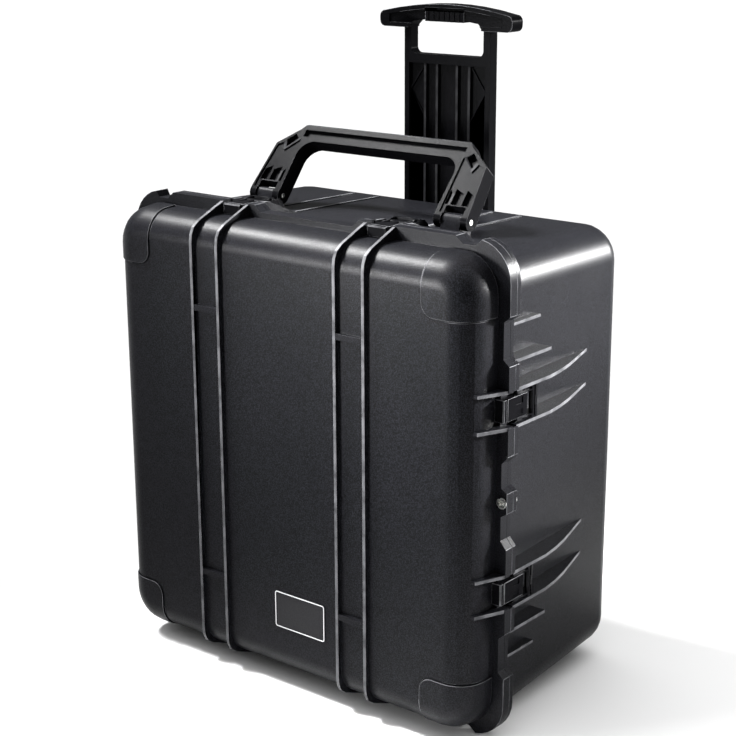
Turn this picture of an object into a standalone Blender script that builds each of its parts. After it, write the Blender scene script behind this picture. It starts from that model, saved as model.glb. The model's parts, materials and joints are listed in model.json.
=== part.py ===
"""Wheeled hard equipment case: deep base, shallow lid hinged at the left, six draw latches,
a folding carry handle, a pull-out trolley handle and two wheels at the bottom rear corners.

Units are metres and +Z is up. The case stands on its wheels and front feet, lid facing -Y.
Shapes are drawn in the case frame: x across, depth behind the parting plane along +Y, and
height above the middle of the case along +Z. Latches are drawn in a side frame: s along the
side, depth as above, and u outwards from the flange's outer face.
"""

import math

import bmesh
import bpy
from mathutils import Matrix, Vector

# Overall size
PARTING_Y = -0.1243
MID_HEIGHT = 0.350
FLANGE_HALF_W = 0.3455
FLANGE_HALF_H = 0.3485
FLANGE_CORNER = 0.054
LID_FLANGE_DEPTH = 0.015
BASE_FLANGE_DEPTH = 0.008
WALL = 0.0055
GAP = 0.0003
CORNER_STEPS = 7

# Lid: half sizes at the parting plane and at the front face
LID_DEPTH = 0.0762
LID_HALF_W = (0.328, 0.3257)
LID_HALF_H = (0.331, 0.3275)
LID_CORNER = 0.052
LID_EDGE = 0.038
RIB_HEIGHT = 0.0065
RIB_WIDTH = 0.0046
CROSSBAR_HEIGHT = 0.2033

# Base: values at the parting plane and at the back face
BASE_DEPTH = 0.3255
BASE_HALF_W = (0.320, 0.3067)
BASE_TOP = (0.324, 0.3156)
BASE_FLOOR = (-0.318, -0.3044)
RUNNER_BOTTOM = (-0.343, -0.331)
RUNNER_INNER_X = 0.238
BASE_CORNER = 0.050
BASE_EDGE = 0.035
BACK_PROUD = 0.0058
BACK = BASE_DEPTH + BACK_PROUD

# Flange dips: (centre, half length, depth, chamfer) along each side
LATCH_ALONG_SIDE = 0.128
LATCH_ALONG_TOP = 0.1328
LATCH_NOTCH = (0.0245, 0.0125)
SIDE_DIPS = [(0.0412, 0.0125, 0.0095, 0.011), (0.220, 0.025, 0.0095, 0.008)]
TOP_DIP = (0.270, 0.289, 0.0095, 0.011)
TOP_CORNER_SWEEP = 81
TOP_MIDDLE_DIP = (0.0, 0.084, 0.0095, 0.011)
HINGE_SIDE_HALF_W = 0.3392
PADLOCK_TAB = (0.0140, 0.0060)
PADLOCK_X = 0.3375
PADLOCK_BUSH = 0.0066

# Latches, in the side frame (depth, u)
FIN_OFFSET = 0.025
FIN_THICKNESS = 0.0046
LEVER_PIVOT = (0.0125, -0.0085)
HOOK_PIVOT = (0.0305, -0.0100)
LEVER_HALF_WIDTH = 0.0212
HOOK_HALF_WIDTH = 0.0152
LATCH_PIN_RADIUS = 0.0020
LATCH_PIN_SIDES = 8
PIVOT_PIN_HALF = 0.0270
HOOK_PIN_HALF = 0.0205
SLOT_SLACK = 0.0008

# Hinge
HINGE_X = -0.3400
HINGE_BARREL = 0.0055
HINGE_RELIEF = 0.0005
HINGE_PIN_RADIUS = 0.0022
HINGE_KNUCKLE = 0.036

# Carry handle
HANDLE_TILT = math.radians(40.0)
HANDLE_PIVOT = (0.1001, 0.3402)
HANDLE_HALF_THICK = 0.0125
HANDLE_LEG_X = (0.144, 0.2003)
HANDLE_BOSS_X = (0.1567, 0.1887)
HANDLE_PIN_RADIUS = 0.004

# Trolley handle, in the extended position
TROLLEY_HALF_W = 0.0796
TROLLEY_DEPTH = (0.3100, 0.3278)
TROLLEY_BOTTOM = 0.188
GRIP_HALF_W = 0.122
GRIP_DEPTH = (0.3035, 0.3310)
GRIP_HEIGHT = (0.577, 0.6134)
GRIP_ARC = 0.520
GRIP_END = 0.009
CHANNEL_BOTTOM = -0.104
RECESS_BOTTOM = 0.290
COVER_HALF_W = 0.094
COVER_HEIGHT = (-0.110, 0.286)
COVER_FRONT = 0.3284
SCREW_X = 0.0873
SCREW_HEIGHTS = (-0.098, 0.088, 0.274)
LINK_X = 0.0733
LINK_DEPTH = 0.319
LINK_TOP = 0.597
TRIGGER_HALF_W = 0.036
TRIGGER_HEIGHT = (0.5875, 0.602)
TRIGGER_TRAVEL = 0.005

# Wheels
WHEEL_RADIUS = 0.0385
WHEEL_X = 0.211
WHEEL_HALF_WIDTH = 0.017
WHEEL_DEPTH = 0.2895
AXLE_HEIGHT = WHEEL_RADIUS - MID_HEIGHT
AXLE_RADIUS = 0.005
WELL_X = (0.1905, 0.2315)
WELL_FRONT = 0.245
WELL_TOP = -0.269

# Small parts
FOOT_X = 0.272
FOOT_DEPTH = 0.042
FOOT_HALF = (0.021, 0.018)
VALVE_DEPTH = 0.150
PLATE_CENTRE = (0.0335, -0.225)
PLATE_HALF = (0.047, 0.028)

BLACK = (0.018, 0.018, 0.020)
PLASTIC = {
    "shell_black": (BLACK, 0.42, 0.0),
    "trim_black": ((0.014, 0.014, 0.015), 0.38, 0.0),
    "rubber_black": ((0.010, 0.010, 0.010), 0.75, 0.0),
    "tyre_grey": ((0.030, 0.030, 0.032), 0.60, 0.0),
    "steel": ((0.62, 0.62, 0.60), 0.28, 1.0),
    "plate_grey": ((0.10, 0.10, 0.10), 0.45, 0.0),
}


# ---------------------------------------------------------------- mesh helpers


def lerp(pair, t):
    return pair[0] + (pair[1] - pair[0]) * t


def new_object(name, bm):
    """A scene object from a closed bmesh drawn in the case frame."""
    bmesh.ops.recalc_face_normals(bm, faces=bm.faces)
    mesh = bpy.data.meshes.new(name)
    bm.to_mesh(mesh)
    bm.free()
    obj = bpy.data.objects.new(name, mesh)
    bpy.context.scene.collection.objects.link(obj)
    return obj


def loft(name, rings, tapered=False):
    """A closed solid through rings of equal length, with flat ends."""
    bm = bmesh.new()
    loops = [[bm.verts.new(p) for p in ring] for ring in rings]
    for a, b in zip(loops, loops[1:]):
        for i in range(len(a)):
            j = (i + 1) % len(a)
            bm.faces.new((a[i], a[j], b[j], b[i]))
    if tapered:
        bmesh.ops.triangulate(bm, faces=bm.faces)
    bm.faces.new(loops[0])
    bm.faces.new(reversed(loops[-1]))
    return new_object(name, bm)


def prism(name, outline, axis, low, high):
    """An outline pushed along X (outline is depth, height), Y (x, height) or Z (x, depth)."""
    place = {
        "X": lambda a, b, t: (t, a, b),
        "Y": lambda a, b, t: (a, t, b),
        "Z": lambda a, b, t: (a, b, t),
    }[axis]
    return loft(name, [[place(a, b, t) for a, b in outline] for t in (low, high)])


def block(name, xs, depths, heights):
    outline = [(xs[0], heights[0]), (xs[1], heights[0]), (xs[1], heights[1]), (xs[0], heights[1])]
    return prism(name, outline, "Y", depths[0], depths[1])


def circle(centre, radius, steps):
    turns = [2 * math.pi * (i + 0.5) / steps for i in range(steps)]
    return [(centre[0] + radius * math.cos(a), centre[1] + radius * math.sin(a)) for a in turns]


def rod(name, axis, centre, radius, low, high, steps=16):
    """A round bar along an axis; centre is the outline's centre, as prism takes it."""
    return prism(name, circle(centre, radius, steps), axis, low, high)


def arc(centre, radius, start, end, steps):
    """Points on an arc between two angles in degrees."""
    turns = [math.radians(start + (end - start) * i / steps) for i in range(steps + 1)]
    return [(centre[0] + radius * math.cos(a), centre[1] + radius * math.sin(a)) for a in turns]


def rounded_rectangle(x_low, x_high, z_low, z_high, radius, steps=CORNER_STEPS):
    r = max(radius, 0.0005)
    points = arc((x_high - r, z_high - r), r, 0, 90, steps)
    points += arc((x_low + r, z_high - r), r, 90, 180, steps)
    points += arc((x_low + r, z_low + r), r, 180, 270, steps)
    points += arc((x_high - r, z_low + r), r, 270, 360, steps)
    return points


def combine(target, tools, operation):
    """Applies one exact Boolean for each tool and removes the tools."""
    for tool in tools:
        modifier = target.modifiers.new(operation.lower(), "BOOLEAN")
        modifier.operation = operation
        modifier.solver = "EXACT"
        modifier.object = tool
        graph = bpy.context.evaluated_depsgraph_get()
        mesh = bpy.data.meshes.new_from_object(target.evaluated_get(graph))
        target.modifiers.clear()
        target.data = mesh
        bpy.data.objects.remove(tool)
    return target


def join_to(target, *tools):
    return combine(target, tools, "UNION")


def cut_from(target, *tools):
    return combine(target, tools, "DIFFERENCE")


def moved(obj, matrix):
    """Bakes a matrix into the mesh, so that later Booleans see it in place."""
    obj.data.transform(matrix)
    return obj


def side_frame(side):
    """Matrix from a side frame (s, depth, u) to the case frame."""
    turn = {"top": 0, "right": 90, "bottom": 180, "left": -90}[side]
    half = FLANGE_HALF_H if side in ("top", "bottom") else FLANGE_HALF_W
    return Matrix.Rotation(math.radians(turn), 4, "Y") @ Matrix.Translation((0, 0, half))


def finish(obj, slot, frame, origin=(0, 0, 0), smooth=False):
    """Puts the object's origin at a case-frame point, parents it and gives it its material."""
    obj.data.transform(Matrix.Translation(-Vector(origin)))
    obj.location = origin
    obj.parent = frame
    colour, roughness, metallic = PLASTIC[slot]
    material = bpy.data.materials.new(obj.name)
    material.use_nodes = True
    shader = material.node_tree.nodes["Principled BSDF"]
    shader.inputs["Base Color"].default_value = (*colour, 1)
    shader.inputs["Roughness"].default_value = roughness
    shader.inputs["Metallic"].default_value = metallic
    obj.data.materials.clear()
    obj.data.materials.append(material)
    if smooth:
        obj.data.shade_smooth()
        obj.data.set_sharp_from_angle(angle=math.radians(30))
    return obj


# ---------------------------------------------------------------- flange outline


def dip(centre, half, depth, chamfer):
    """A chamfered dip as (position along the side, u) from low to high."""
    low, high = centre - half, centre + half
    return [(low - chamfer, 0), (low, -depth), (high, -depth), (high + chamfer, 0)]


def notch(centre):
    half, depth = LATCH_NOTCH
    low, high = centre - half, centre + half
    return [(low, 0), (low, -depth), (high, -depth), (high, 0)]


def mirrored(points):
    return [(-a, b) for a, b in reversed(points)]


def padlock_side():
    """The latch side, from bottom to top, with the padlock tab in the middle."""
    half, slope = PADLOCK_TAB
    inner, outer = SIDE_DIPS
    centre, length, depth, chamfer = inner
    upper = [(half, 0), (half + slope, -depth), (centre + length, -depth)]
    upper += [(centre + length + chamfer, 0)]
    upper += notch(LATCH_ALONG_SIDE) + dip(*outer)
    return mirrored(upper) + upper


def latch_edge():
    """The top or bottom side, with two latch notches and a dip at each corner."""
    low, high, depth, chamfer = TOP_DIP
    half = notch(LATCH_ALONG_TOP) + [(low - chamfer, 0), (low, -depth), (high, -depth)]
    return mirrored(half) + dip(*TOP_MIDDLE_DIP) + half


def flange_outline():
    """The outline shared by both flanges, anticlockwise as (x, height)."""
    w, h, r = FLANGE_HALF_W, FLANGE_HALF_H, FLANGE_CORNER
    left = HINGE_SIDE_HALF_W
    sweep = TOP_CORNER_SWEEP
    points = [(w + u, a) for a, u in padlock_side()]
    points += arc((w - r, h - r), r, 0, sweep, CORNER_STEPS)
    points += [(a, h + u) for a, u in reversed(latch_edge())]
    points += arc((r - left, h - r), r, 180 - sweep, 180, CORNER_STEPS)
    points += arc((r - left, r - h), r, 180, 180 + sweep, CORNER_STEPS)
    points += [(a, -h - u) for a, u in latch_edge()]
    points += arc((w - r, r - h), r, 360 - sweep, 360, CORNER_STEPS)
    return points


# ---------------------------------------------------------------- lid


def lid_ring(t, inset):
    """A section of the lid at a share t of its depth, drawn inset from the outer skin."""
    w, h = lerp(LID_HALF_W, t) - inset, lerp(LID_HALF_H, t) - inset
    outline = rounded_rectangle(-w, w, -h, h, LID_CORNER - inset)
    return [(x, -LID_DEPTH * t, z) for x, z in outline]


def lid_hull(name, offset, start):
    """The lid's skin moved inwards by offset, from depth start to the front face."""
    radius = LID_EDGE - offset
    front = LID_DEPTH - offset
    rings = [[(x, start, z) for x, _, z in lid_ring(0, offset)]]
    for angle in range(0, 91, 15):
        a = math.radians(angle)
        depth = front - radius + radius * math.sin(a)
        inset = offset + radius * (1 - math.cos(a))
        rings.append([(x, -depth, z) for x, _, z in lid_ring(depth / LID_DEPTH, inset)])
    return loft(name, rings, tapered=True)


def rib_outline():
    """Side view of a front rib: gussets at both flanges, joined down the lid's front."""
    front = -LID_DEPTH - RIB_HEIGHT
    upper = [(-0.004, 0.3480), (-0.016, 0.3475), (-0.066, 0.3265), (-0.0765, 0.319)]
    upper += [(-0.0813, 0.309), (front, 0.297)]
    return upper + [(depth, -height) for depth, height in reversed(upper)]


def lid_ribs():
    parts = []
    for side in (-1, 1):
        for offset in (-FIN_OFFSET, FIN_OFFSET):
            x = side * LATCH_ALONG_TOP + offset
            parts.append(prism("rib", rib_outline(), "X", x - RIB_WIDTH / 2, x + RIB_WIDTH / 2))
        centre = side * LATCH_ALONG_TOP
        xs = (centre - FIN_OFFSET, centre + FIN_OFFSET)
        for height in (-CROSSBAR_HEIGHT, CROSSBAR_HEIGHT):
            heights = (height - 0.0045, height + 0.0045)
            depths = (-LID_DEPTH - RIB_HEIGHT + 0.0005, -LID_DEPTH + 0.003)
            parts.append(block("crossbar", xs, depths, heights))
    return parts


def lid_gussets():
    """Ribs beside the latches on the latch side, from the flange to the lid's front edge."""
    outline = [(-0.004, -0.0005), (-0.0155, -0.001), (-0.058, -0.0185), (-0.058, -0.040)]
    outline += [(-0.004, -0.040)]
    parts = []
    for s in (-LATCH_ALONG_SIDE, LATCH_ALONG_SIDE):
        for offset in (-FIN_OFFSET, FIN_OFFSET):
            low = s + offset - RIB_WIDTH / 2
            gusset = prism("gusset", outline, "X", low, low + RIB_WIDTH)
            parts.append(moved(gusset, side_frame("right")))
    return parts


def knuckle(height, towards_base):
    """A hinge barrel along Z with a web to one flange."""
    sign = 1 if towards_base else -1
    low, high = height - HINGE_KNUCKLE / 2 + GAP, height + HINGE_KNUCKLE / 2 - GAP
    barrel = rod("knuckle", "Z", (HINGE_X, 0), HINGE_BARREL, low, high, 16)
    inner = -HINGE_SIDE_HALF_W + 0.004
    web = [(HINGE_X, sign * 0.0004), (inner, sign * 0.0004), (inner, sign * 0.0051)]
    web += [(HINGE_X, sign * 0.0051)]
    return join_to(barrel, prism("web", web, "Z", low, high))


def knuckle_relief(height):
    """Room in one flange for the other flange's hinge barrel."""
    half = HINGE_KNUCKLE / 2 + GAP
    return rod("relief", "Z", (HINGE_X, 0), HINGE_BARREL + HINGE_RELIEF, height - half, height + half)


def hinge_centres():
    return (-LATCH_ALONG_SIDE, LATCH_ALONG_SIDE)


def base_knuckles():
    return [h + side * HINGE_KNUCKLE for h in hinge_centres() for side in (-1, 1)]


def hinge_bores():
    radius = HINGE_PIN_RADIUS + GAP
    span = 1.5 * HINGE_KNUCKLE + 0.002
    return [rod("bore", "Z", (HINGE_X, 0), radius, h - span, h + span, 12) for h in hinge_centres()]


def gasket_outline(offset):
    w, h = 0.3262 + offset, 0.3292 + offset
    return rounded_rectangle(-w, w, -h, h, 0.0502 + offset)


def gasket_ring(name, half_width, depths):
    """A rectangular ring along the rim, as a solid with a hole through it."""
    outer = prism(name, gasket_outline(half_width), "Y", *depths)
    inner = prism("inner", gasket_outline(-half_width), "Y", depths[0] - 0.01, depths[1] + 0.01)
    return cut_from(outer, inner)


def make_lid(frame):
    lid = lid_hull("lid_shell", 0, -GAP / 2)
    flange = prism("flange", flange_outline(), "Y", -LID_FLANGE_DEPTH, -GAP / 2)
    join_to(lid, flange, *lid_ribs(), *lid_gussets())
    cut_from(lid, *[knuckle_relief(h) for h in base_knuckles()])
    join_to(lid, *[knuckle(h, False) for h in hinge_centres()])
    groove = gasket_ring("groove", 0.0026, (-0.0050, 0.002))
    bushing = rod("bushing", "Y", (PADLOCK_X, 0), PADLOCK_BUSH + GAP, -0.03, 0.01, 20)
    cut_from(lid, lid_hull("cavity", WALL, 0.01), groove, bushing, *hinge_bores())
    finish(lid, "shell_black", frame, (HINGE_X, 0, 0))
    gasket = gasket_ring("lid_gasket", 0.0023, (-0.0047, -0.0002))
    finish(gasket, "rubber_black", frame)
    x, z = PLATE_CENTRE
    xs, zs = (x - PLATE_HALF[0], x + PLATE_HALF[0]), (z - PLATE_HALF[1], z + PLATE_HALF[1])
    outline = rounded_rectangle(*xs, *zs, 0.004, 3)
    plate = prism("name_plate", outline, "Y", -LID_DEPTH - 0.0013, -LID_DEPTH - GAP)
    finish(plate, "plate_grey", frame)


# ---------------------------------------------------------------- base


def base_ring(depth, inset, floor):
    """A section of the base; floor is the pair of bottom heights it follows."""
    t = max(depth, 0) / BASE_DEPTH
    w = lerp(BASE_HALF_W, t) - inset
    outline = rounded_rectangle(
        -w, w, lerp(floor, t) + inset, lerp(BASE_TOP, t) - inset, BASE_CORNER - inset
    )
    return [(x, depth, z) for x, z in outline]


def base_hull(name, offset, start, floor):
    radius = BASE_EDGE - offset
    back = BASE_DEPTH - offset
    rings = [[(x, start, z) for x, _, z in base_ring(0, offset, floor)]]
    for angle in range(0, 91, 15):
        a = math.radians(angle)
        depth = back - radius + radius * math.sin(a)
        rings.append(base_ring(depth, offset + radius * (1 - math.cos(a)), floor))
    return loft(name, rings, tapered=True)


def floor_recess():
    """The space under the case between its two runners."""
    outline = [(-0.01, BASE_FLOOR[0]), (0.34, lerp(BASE_FLOOR, 0.34 / BASE_DEPTH))]
    outline += [(0.34, -0.40), (-0.01, -0.40)]
    return prism("recess", outline, "X", -RUNNER_INNER_X, RUNNER_INNER_X)


def fin(side, s, profile, thickness=FIN_THICKNESS):
    """An upright rib on an outer wall, from its (depth, u) profile."""
    low = s - thickness / 2
    return moved(prism("fin", profile, "X", low, low + thickness), side_frame(side))


def long_fin_profile():
    crest = [(0.004, -0.0002), (0.085, -0.0004), (0.115, -0.0045), (0.145, -0.011)]
    crest += [(0.175, -0.0195), (0.205, -0.0285), (0.236, -0.0370)]
    return crest + [(0.236, -0.046), (0.004, -0.046)]


def top_fin_profile():
    crest = [(0.004, -0.0005), (0.025, -0.002), (0.055, -0.0145), (0.084, -0.0254)]
    return crest + [(0.281, -0.0305), (0.281, -0.046), (0.004, -0.046)]


def floor_fin_profile():
    crest = [(0.004, -0.0005), (0.070, -0.002), (0.120, -0.014), (0.165, -0.036)]
    return crest + [(0.165, -0.048), (0.004, -0.048)]


def blunt_profile(length, u):
    return [(0.004, u), (length, u), (length, -0.045), (0.004, -0.045)]


def base_fins():
    parts = []
    for sign in (-1, 1):
        for offset in (-FIN_OFFSET, FIN_OFFSET):
            parts.append(fin("right", sign * LATCH_ALONG_SIDE + offset, long_fin_profile()))
            parts.append(fin("top", sign * LATCH_ALONG_TOP + offset, top_fin_profile()))
            parts.append(fin("bottom", sign * LATCH_ALONG_TOP + offset, floor_fin_profile()))
        parts.append(fin("right", sign * 0.190, blunt_profile(0.090, -0.0045)))
        parts.append(fin("right", sign * 0.235, blunt_profile(0.080, -0.0165), 0.004))
        parts.append(fin("right", sign * 0.268, blunt_profile(0.030, -0.0205), 0.004))
    return parts


def handle_boss(side):
    """The eye on the base's top that the handle's fork straddles."""
    depth, height = HANDLE_PIVOT
    outline = [(depth + 0.0145, 0.315), (depth + 0.0145, 0.3275)]
    outline += arc((depth, height), 0.0095, 0, 180, 8)
    outline += [(depth - 0.0145, 0.3275), (depth - 0.0145, 0.315)]
    xs = sorted(side * x for x in HANDLE_BOSS_X)
    return prism("boss", outline, "X", *xs)


def back_rails():
    """Raised frame round the trolley channel and two skids to lie the case on its back."""
    depths = (BASE_DEPTH - 0.012, BACK)
    parts = [block("frame", (-0.098, 0.098), depths, (-0.116, RECESS_BOTTOM - 0.0005))]
    for side in (-1, 1):
        xs = sorted((side * 0.207, side * 0.226))
        parts.append(block("skid", xs, depths, (-0.250, 0.270)))
    return parts


def wheel_housing(side, grow=0.0):
    xs = sorted((side * (WELL_X[0] - WALL - grow), side * (RUNNER_INNER_X + 0.004 + grow)))
    depths = (WELL_FRONT - WALL - grow, BASE_DEPTH - 0.001 + 40 * grow)
    low = lerp(RUNNER_BOTTOM, 0.8) + 0.0015 - 40 * grow
    return block("housing", xs, depths, (low, WELL_TOP + WALL + grow))


def base_cavity():
    """The inside space, less the walls round the wheel wells and the trolley channel."""
    cavity = base_hull("cavity", WALL, -0.01, BASE_FLOOR)
    channel = block("channel", (-0.092, 0.092), (0.3035, 0.34), (CHANNEL_BOTTOM - 0.010, 0.34))
    recess = block("recess", (-0.132, 0.132), (0.2940, 0.34), (RECESS_BOTTOM - WALL, 0.34))
    wells = [wheel_housing(side, 0.001) for side in (-1, 1)]
    return cut_from(cavity, channel, recess, *wells)


def trolley_cuts():
    w = TROLLEY_HALF_W + 0.0008
    channel = block("channel", (-w, w), (TROLLEY_DEPTH[0] - 0.0006, 0.34), (CHANNEL_BOTTOM, 0.40))
    half = GRIP_HALF_W + 0.004
    outline = arc((half - 0.012, RECESS_BOTTOM + 0.012), 0.012, 0, -90, 4)
    outline = [(half, 0.40)] + outline + [(-x, z) for x, z in reversed(outline)] + [(-half, 0.40)]
    recess = prism("recess", outline, "Y", GRIP_DEPTH[0] - 0.0035, 0.34)
    x = COVER_HALF_W + GAP
    heights = (COVER_HEIGHT[0] - GAP, COVER_HEIGHT[1] + GAP)
    cover = block("cover", (-x, x), (COVER_FRONT - GAP, 0.34), heights)
    return [channel, recess, cover]


def screw_positions():
    return [(side * SCREW_X, height) for side in (-1, 1) for height in SCREW_HEIGHTS]


def make_base(frame):
    base = base_hull("base_shell", 0, GAP / 2, RUNNER_BOTTOM)
    cut_from(base, floor_recess())
    join_to(base, *[wheel_housing(side) for side in (-1, 1)])
    join_to(base, prism("flange", flange_outline(), "Y", GAP / 2, BASE_FLANGE_DEPTH))
    join_to(base, *base_fins(), *[handle_boss(side) for side in (-1, 1)], *back_rails())
    cut_from(base, *[knuckle_relief(h) for h in hinge_centres()])
    join_to(base, *[knuckle(h, True) for h in base_knuckles()])
    cuts = [base_cavity(), *trolley_cuts(), *hinge_bores()]
    cuts.append(rod("bushing", "Y", (PADLOCK_X, 0), PADLOCK_BUSH + GAP, -0.01, 0.03, 20))
    for side in (-1, 1):
        well = sorted(side * x for x in WELL_X)
        cuts.append(block("well", well, (WELL_FRONT, 0.34), (-0.36, WELL_TOP)))
        axle = sorted((side * 0.180, side * 0.2465))
        centre = (WHEEL_DEPTH, AXLE_HEIGHT)
        cuts.append(rod("axle_bore", "X", centre, AXLE_RADIUS + GAP, *axle, 16))
        pin = sorted((side * 0.140, side * 0.205))
        cuts.append(rod("pin_bore", "X", HANDLE_PIVOT, HANDLE_PIN_RADIUS + GAP, *pin, 16))
        foot = sorted((side * (FOOT_X - FOOT_HALF[0] - GAP), side * (FOOT_X + FOOT_HALF[0] + GAP)))
        depths = (FOOT_DEPTH - FOOT_HALF[1] - GAP, FOOT_DEPTH + FOOT_HALF[1] + GAP)
        cuts.append(block("foot_pocket", foot, depths, (-0.36, -0.3385)))
    for x, height in screw_positions():
        cuts.append(rod("screw_bore", "Y", (x, height), 0.0020, 0.3180, 0.34, 10))
    valve = rod("valve_bore", "X", (VALVE_DEPTH, 0), 0.0083, -0.33, -0.29, 20)
    cut_from(base, *cuts, valve, *pivot_pin_bores())
    finish(base, "shell_black", frame)


# ---------------------------------------------------------------- latches


def latch_places():
    """(name, side, position along the side) of the six latches."""
    places = []
    for side in ("top", "bottom"):
        for label, sign in (("left", -1), ("right", 1)):
            along = sign * LATCH_ALONG_TOP * (1 if side == "top" else -1)
            places.append((f"{side}_{label}", side, along))
    for label, sign in (("upper", -1), ("lower", 1)):
        places.append((f"side_{label}", "right", sign * LATCH_ALONG_SIDE))
    return places


def latch_rod(name, pivot, half, slack=0.0):
    """A latch pin, or with slack the bore it turns in, centred across the latch."""
    return rod(name, "X", pivot, LATCH_PIN_RADIUS + slack, -half, half, LATCH_PIN_SIDES)


def pivot_pin_bores():
    """Bores through the fins on both sides of each latch."""
    bores = []
    for _, side, s in latch_places():
        for end in (-1, 1):
            bore = latch_rod("bore", LEVER_PIVOT, 0.0035, GAP)
            place = side_frame(side) @ Matrix.Translation((s + end * FIN_OFFSET, 0, 0))
            bores.append(moved(bore, place))
    return bores


def lever_profile():
    """Side view of the lever: round hub, back rising to its top, tip bent to the wall."""
    hub = arc(LEVER_PIVOT, 0.0042, 240, 100, 5)
    back = [(0.0300, -0.0008), (0.046, -0.0006), (0.056, -0.0030), (0.063, -0.0085)]
    under = [(0.0665, -0.0165), (0.062, -0.0175), (0.054, -0.0165), (0.018, -0.0165)]
    return hub + back + under


def lever_slot():
    """Side view of the slot between the cheeks, which the hook lifts out of."""
    slot = [(0.000, -0.025), (0.000, 0.005), (0.0420, 0.005), (0.0420, -0.0044)]
    return slot + [(0.050, -0.0044), (0.056, -0.0100), (0.056, -0.025)]


def hook_profile():
    """Side view of the hook: eye, strap arching over the pivot pin, groove and nose."""
    eye = arc(HOOK_PIVOT, 0.0046, -150, 40, 8)
    strap = [(0.0320, -0.0030), (0.0300, -0.0020), (-0.0135, -0.0020)]
    groove = [(-0.0140, -0.0060), (-0.0156, -0.0060), (-0.0160, -0.0020)]
    nose = [(-0.0215, -0.0020), (-0.0225, -0.0035), (-0.0225, -0.0168), (-0.0180, -0.0168)]
    under = [(-0.0160, -0.0150), (-0.0160, -0.0118), (0.0080, -0.0118), (0.0085, -0.0061)]
    return eye + strap + groove + nose + under + [(0.0235, -0.0061)]


def make_latch(frame, name, side, s):
    """A lever on a pivot pin between two fins, and a hook pinned between its cheeks."""
    to_case = side_frame(side) @ Matrix.Translation((s, 0, 0))
    w, h = LEVER_HALF_WIDTH, HOOK_HALF_WIDTH
    slot = h + SLOT_SLACK
    lever = prism(f"latch_lever_{name}", lever_profile(), "X", -w, w)
    cut_from(lever, prism("slot", lever_slot(), "X", -slot, slot))
    for pivot in (LEVER_PIVOT, HOOK_PIVOT):
        cut_from(lever, latch_rod("bore", pivot, w + 0.002, GAP))
    hook = prism(f"latch_hook_{name}", hook_profile(), "X", -h, h)
    cut_from(hook, latch_rod("bore", HOOK_PIVOT, h + 0.002, GAP))
    hook_pin = latch_rod(f"latch_hook_pin_{name}", HOOK_PIVOT, HOOK_PIN_HALF)
    pivot_pin = latch_rod(f"latch_pivot_pin_{name}", LEVER_PIVOT, PIVOT_PIN_HALF)
    pieces = [(lever, "trim_black", LEVER_PIVOT), (hook, "trim_black", HOOK_PIVOT)]
    pieces += [(hook_pin, "steel", HOOK_PIVOT), (pivot_pin, "steel", LEVER_PIVOT)]
    for obj, slot_name, point in pieces:
        moved(obj, to_case)
        finish(obj, slot_name, frame, to_case @ Vector((0, *point)), slot_name == "steel")


def make_padlock_eyelets(frame):
    """Steel bushes that line the padlock hole in each flange."""
    for name, body, washer in (
        ("padlock_eyelet_lid", (-0.0155, -0.0004), (-0.0162, -LID_FLANGE_DEPTH - GAP)),
        ("padlock_eyelet_base", (0.0004, 0.0085), (BASE_FLANGE_DEPTH + GAP, 0.0092)),
    ):
        eyelet = rod(name, "Y", (PADLOCK_X, 0), PADLOCK_BUSH, *body, 20)
        join_to(eyelet, rod("washer", "Y", (PADLOCK_X, 0), 0.0078, *washer, 20))
        cut_from(eyelet, rod("bore", "Y", (PADLOCK_X, 0), 0.0046, -0.03, 0.03, 20))
        finish(eyelet, "steel", frame, (PADLOCK_X, 0, 0), True)


def make_hinge_pins(frame):
    for label, height in zip(("lower", "upper"), hinge_centres()):
        span = 1.5 * HINGE_KNUCKLE - 0.001
        centre = (HINGE_X, 0)
        pin = rod(f"hinge_pin_{label}", "Z", centre, HINGE_PIN_RADIUS, height - span, height + span, 12)
        finish(pin, "steel", frame, (HINGE_X, 0, height), True)


# ---------------------------------------------------------------- carry handle


def handle_outline():
    """Front view of the handle's bow about its pivot axis, as (x, distance from the axis)."""
    inner_x, outer_x = HANDLE_LEG_X
    outer = [(outer_x, -0.02), (outer_x, 0.005), (0.1934, 0.081), (0.158, 0.109), (0.150, 0.1187)]
    inner = arc((0.1205, 0.0645), 0.0255, 82, 0, 5) + [(inner_x, 0.007), (inner_x, -0.02)]
    left = [(-x, z) for x, z in reversed(outer)] + [(-x, z) for x, z in reversed(inner)]
    return outer + left + inner


def handle_section():
    """Side view of the handle: a slab with a round foot and eased top edges."""
    t, top, ease = HANDLE_HALF_THICK, 0.1190, 0.003
    outline = [(t, top - ease), (t - ease, top), (ease - t, top), (-t, top - ease)]
    return outline + arc((0, 0), t, 180, 360, 12)


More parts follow.
